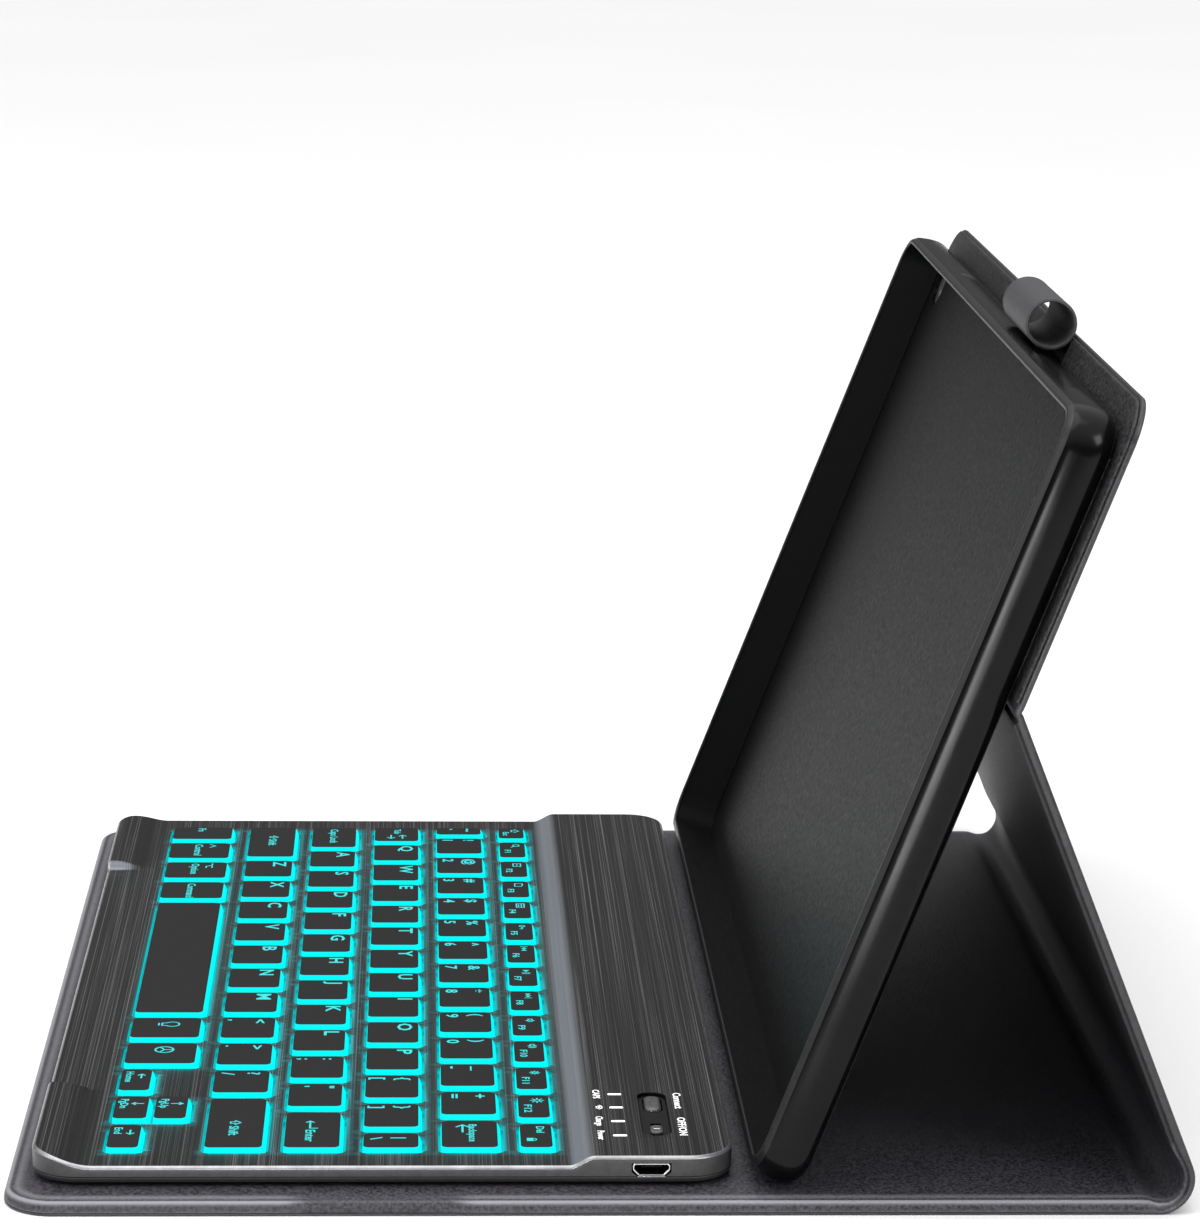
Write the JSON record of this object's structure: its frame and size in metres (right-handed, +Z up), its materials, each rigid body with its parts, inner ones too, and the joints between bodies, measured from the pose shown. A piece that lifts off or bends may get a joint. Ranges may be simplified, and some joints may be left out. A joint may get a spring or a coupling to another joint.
{
  "type": "tablet keyboard case",
  "caption": "Folding tablet case standing open, with a lit low-profile keyboard on its front cover, a leaning tablet tray, a folding rear stand and a stylus loop.",
  "frame": {"origin": "middle of the footprint, on the surface the case stands on", "axes": "+X to the typist's right, +Y from the keyboard towards the spine, +Z up"},
  "size_m": [0.2722, 0.2318, 0.1682],
  "materials": {
    "outer_leather": "black synthetic leather with fine slanted ribs",
    "lining_leather": "charcoal grained synthetic leather, satin",
    "cover_board": "pressed stiffening board",
    "tray_gloss": "high-gloss black moulding",
    "adhesive": "double-sided tape",
    "elastic": "dark grey elastic webbing",
    "deck_metal": "dark brushed, streaks along X, bright cut edge",
    "case_plastic": "satin dark grey",
    "keycap_plastic": "matte black tops",
    "key_glow": "clear light guide lit cyan",
    "magnet_metal": "nickel plated",
    "screw_steel": "black zinc",
    "foot_rubber": "soft rubber",
    "dome_silicone": "clear silicone",
    "board_green": "circuit board",
    "sheet_plastic": "printed polyester film",
    "battery_wrap": "foil pouch",
    "port_metal": "plated connector shell",
    "lamp_lens": "white light pipe",
    "control_plastic": "black moulding"
  },
  "bodies": {
    "front_cover": {"front_cover_skin": "outer_leather", "front_cover_board": "cover_board", "keyboard_magnets": "magnet_metal", "foot_magnets": "magnet_metal", "front_cover_lining": "lining_leather", "spine_strip": "outer_leather"},
    "stand": {"stand_skin": "outer_leather", "stand_board": "cover_board", "stand_lining": "lining_leather", "fold_strip": "outer_leather"},
    "tray_panel": {"back_panel_skin": "outer_leather", "back_panel_board": "cover_board", "back_panel_lining": "lining_leather", "tray_shell": "tray_gloss", "tray_adhesive_pad": "adhesive", "stylus_loop": "elastic"},
    "keyboard": {"keyboard_top_case": "deck_metal", "keyboard_bottom_case": "case_plastic", "case_screws": "screw_steel", "screw_posts": "case_plastic", "keyboard_feet": "foot_rubber", "key_backplate": "magnet_metal", "light_guide": "key_glow", "key_membrane": "sheet_plastic", "rubber_dome_sheet": "dome_silicone", "main_pcb": "board_green", "battery": "battery_wrap", "charging_port_shell": "port_metal", "charging_port_tongue": "control_plastic", "status_light_pipes": "lamp_lens", "control_bezel": "control_plastic", "connect_switch": "control_plastic", "power_switch": "control_plastic"},
    "connect_button": {"connect_button": "control_plastic"},
    "power_slider": {"power_slider": "control_plastic"},
    "key_escape": {"key_escape": "keycap_plastic"},
    "keys_function_row": {"keys_function_row": "keycap_plastic"},
    "key_delete": {"key_delete": "keycap_plastic"},
    "keys_number_row": {"keys_number_row": "keycap_plastic"},
    "key_backspace": {"key_backspace": "keycap_plastic"},
    "key_tab": {"key_tab": "keycap_plastic"},
    "keys_qwerty_row": {"keys_qwerty_row": "keycap_plastic"},
    "key_backslash": {"key_backslash": "keycap_plastic"},
    "key_caps_lock": {"key_caps_lock": "keycap_plastic"},
    "keys_home_row": {"keys_home_row": "keycap_plastic"},
    "key_enter": {"key_enter": "keycap_plastic"},
    "key_shift_left": {"key_shift_left": "keycap_plastic"},
    "keys_lower_row": {"keys_lower_row": "keycap_plastic"},
    "key_shift_right": {"key_shift_right": "keycap_plastic"},
    "key_fn": {"key_fn": "keycap_plastic"},
    "key_control": {"key_control": "keycap_plastic"},
    "key_option": {"key_option": "keycap_plastic"},
    "key_command": {"key_command": "keycap_plastic"},
    "key_space": {"key_space": "keycap_plastic"},
    "key_light": {"key_light": "keycap_plastic"},
    "key_colour": {"key_colour": "keycap_plastic"},
    "key_home": {"key_home": "keycap_plastic"},
    "key_page_down": {"key_page_down": "keycap_plastic"},
    "key_end": {"key_end": "keycap_plastic"},
    "key_page_up": {"key_page_up": "keycap_plastic"}
  },
  "joints": [
    {"name": "cover_stand_hinge", "type": "hinge", "parent": "front_cover", "child": "stand", "pos_m": [0, 0.1089, 0.007], "axis": [-1, 0, 0], "range_deg": [0, 90], "deforming": ["spine_strip"]},
    {"name": "cover_tray_hinge", "type": "hinge", "parent": "stand", "child": "tray_panel", "pos_m": [0, 0.0786, 0.10044], "axis": [1, 0, 0], "range_deg": [-69, 0], "deforming": ["fold_strip"]},
    {"name": "cover_keyboard_lift", "type": "slide", "parent": "front_cover", "child": "keyboard", "axis": [0, 0, 1], "range_m": [0, 0.15]},
    {"name": "connect_button_press", "type": "slide", "parent": "keyboard", "child": "connect_button", "axis": [0, 0, -1], "range_m": [0, 0.0004], "stiffness_N_per_m": 400, "springref_m": -0.0004},
    {"name": "power_slider_slide", "type": "slide", "parent": "keyboard", "child": "power_slider", "axis": [-1, 0, 0], "range_m": [0, 0.002]},
    {"name": "key_escape_press", "type": "slide", "parent": "keyboard", "child": "key_escape", "axis": [0, 0, -1], "range_m": [0, 0.001], "stiffness_N_per_m": 250, "springref_m": -0.0008, "deforming": ["rubber_dome_sheet"]},
    {"name": "keys_function_row_press", "type": "slide", "parent": "keyboard", "child": "keys_function_row", "axis": [0, 0, -1], "range_m": [0, 0.001], "stiffness_N_per_m": 3000, "springref_m": -0.0008, "deforming": ["rubber_dome_sheet"]},
    {"name": "key_delete_press", "type": "slide", "parent": "keyboard", "child": "key_delete", "axis": [0, 0, -1], "range_m": [0, 0.001], "stiffness_N_per_m": 250, "springref_m": -0.0008, "deforming": ["rubber_dome_sheet"]},
    {"name": "keys_number_row_press", "type": "slide", "parent": "keyboard", "child": "keys_number_row", "axis": [0, 0, -1], "range_m": [0, 0.001], "stiffness_N_per_m": 3250, "springref_m": -0.0008, "deforming": ["rubber_dome_sheet"]},
    {"name": "key_backspace_press", "type": "slide", "parent": "keyboard", "child": "key_backspace", "axis": [0, 0, -1], "range_m": [0, 0.001], "stiffness_N_per_m": 250, "springref_m": -0.0008, "deforming": ["rubber_dome_sheet"]},
    {"name": "key_tab_press", "type": "slide", "parent": "keyboard", "child": "key_tab", "axis": [0, 0, -1], "range_m": [0, 0.001], "stiffness_N_per_m": 250, "springref_m": -0.0008, "deforming": ["rubber_dome_sheet"]},
    {"name": "keys_qwerty_row_press", "type": "slide", "parent": "keyboard", "child": "keys_qwerty_row", "axis": [0, 0, -1], "range_m": [0, 0.001], "stiffness_N_per_m": 3000, "springref_m": -0.0008, "deforming": ["rubber_dome_sheet"]},
    {"name": "key_backslash_press", "type": "slide", "parent": "keyboard", "child": "key_backslash", "axis": [0, 0, -1], "range_m": [0, 0.001], "stiffness_N_per_m": 250, "springref_m": -0.0008, "deforming": ["rubber_dome_sheet"]},
    {"name": "key_caps_lock_press", "type": "slide", "parent": "keyboard", "child": "key_caps_lock", "axis": [0, 0, -1], "range_m": [0, 0.001], "stiffness_N_per_m": 250, "springref_m": -0.0008, "deforming": ["rubber_dome_sheet"]},
    {"name": "keys_home_row_press", "type": "slide", "parent": "keyboard", "child": "keys_home_row", "axis": [0, 0, -1], "range_m": [0, 0.001], "stiffness_N_per_m": 2750, "springref_m": -0.0008, "deforming": ["rubber_dome_sheet"]},
    {"name": "key_enter_press", "type": "slide", "parent": "keyboard", "child": "key_enter", "axis": [0, 0, -1], "range_m": [0, 0.001], "stiffness_N_per_m": 250, "springref_m": -0.0008, "deforming": ["rubber_dome_sheet"]},
    {"name": "key_shift_left_press", "type": "slide", "parent": "keyboard", "child": "key_shift_left", "axis": [0, 0, -1], "range_m": [0, 0.001], "stiffness_N_per_m": 250, "springref_m": -0.0008, "deforming": ["rubber_dome_sheet"]},
    {"name": "keys_lower_row_press", "type": "slide", "parent": "keyboard", "child": "keys_lower_row", "axis": [0, 0, -1], "range_m": [0, 0.001], "stiffness_N_per_m": 2500, "springref_m": -0.0008, "deforming": ["rubber_dome_sheet"]},
    {"name": "key_shift_right_press", "type": "slide", "parent": "keyboard", "child": "key_shift_right", "axis": [0, 0, -1], "range_m": [0, 0.001], "stiffness_N_per_m": 250, "springref_m": -0.0008, "deforming": ["rubber_dome_sheet"]},
    {"name": "key_fn_press", "type": "slide", "parent": "keyboard", "child": "key_fn", "axis": [0, 0, -1], "range_m": [0, 0.001], "stiffness_N_per_m": 250, "springref_m": -0.0008, "deforming": ["rubber_dome_sheet"]},
    {"name": "key_control_press", "type": "slide", "parent": "keyboard", "child": "key_control", "axis": [0, 0, -1], "range_m": [0, 0.001], "stiffness_N_per_m": 250, "springref_m": -0.0008, "deforming": ["rubber_dome_sheet"]},
    {"name": "key_option_press", "type": "slide", "parent": "keyboard", "child": "key_option", "axis": [0, 0, -1], "range_m": [0, 0.001], "stiffness_N_per_m": 250, "springref_m": -0.0008, "deforming": ["rubber_dome_sheet"]},
    {"name": "key_command_press", "type": "slide", "parent": "keyboard", "child": "key_command", "axis": [0, 0, -1], "range_m": [0, 0.001], "stiffness_N_per_m": 250, "springref_m": -0.0008, "deforming": ["rubber_dome_sheet"]},
    {"name": "key_space_press", "type": "slide", "parent": "keyboard", "child": "key_space", "axis": [0, 0, -1], "range_m": [0, 0.001], "stiffness_N_per_m": 250, "springref_m": -0.0008, "deforming": ["rubber_dome_sheet"]},
    {"name": "key_light_press", "type": "slide", "parent": "keyboard", "child": "key_light", "axis": [0, 0, -1], "range_m": [0, 0.001], "stiffness_N_per_m": 250, "springref_m": -0.0008, "deforming": ["rubber_dome_sheet"]},
    {"name": "key_colour_press", "type": "slide", "parent": "keyboard", "child": "key_colour", "axis": [0, 0, -1], "range_m": [0, 0.001], "stiffness_N_per_m": 250, "springref_m": -0.0008, "deforming": ["rubber_dome_sheet"]},
    {"name": "key_home_press", "type": "slide", "parent": "keyboard", "child": "key_home", "axis": [0, 0, -1], "range_m": [0, 0.001], "stiffness_N_per_m": 250, "springref_m": -0.0008, "deforming": ["rubber_dome_sheet"]},
    {"name": "key_page_down_press", "type": "slide", "parent": "keyboard", "child": "key_page_down", "axis": [0, 0, -1], "range_m": [0, 0.001], "stiffness_N_per_m": 250, "springref_m": -0.0008, "deforming": ["rubber_dome_sheet"]},
    {"name": "key_end_press", "type": "slide", "parent": "keyboard", "child": "key_end", "axis": [0, 0, -1], "range_m": [0, 0.001], "stiffness_N_per_m": 250, "springref_m": -0.0008, "deforming": ["rubber_dome_sheet"]},
    {"name": "key_page_up_press", "type": "slide", "parent": "keyboard", "child": "key_page_up", "axis": [0, 0, -1], "range_m": [0, 0.001], "stiffness_N_per_m": 250, "springref_m": -0.0008, "deforming": ["rubber_dome_sheet"]}
  ]
}
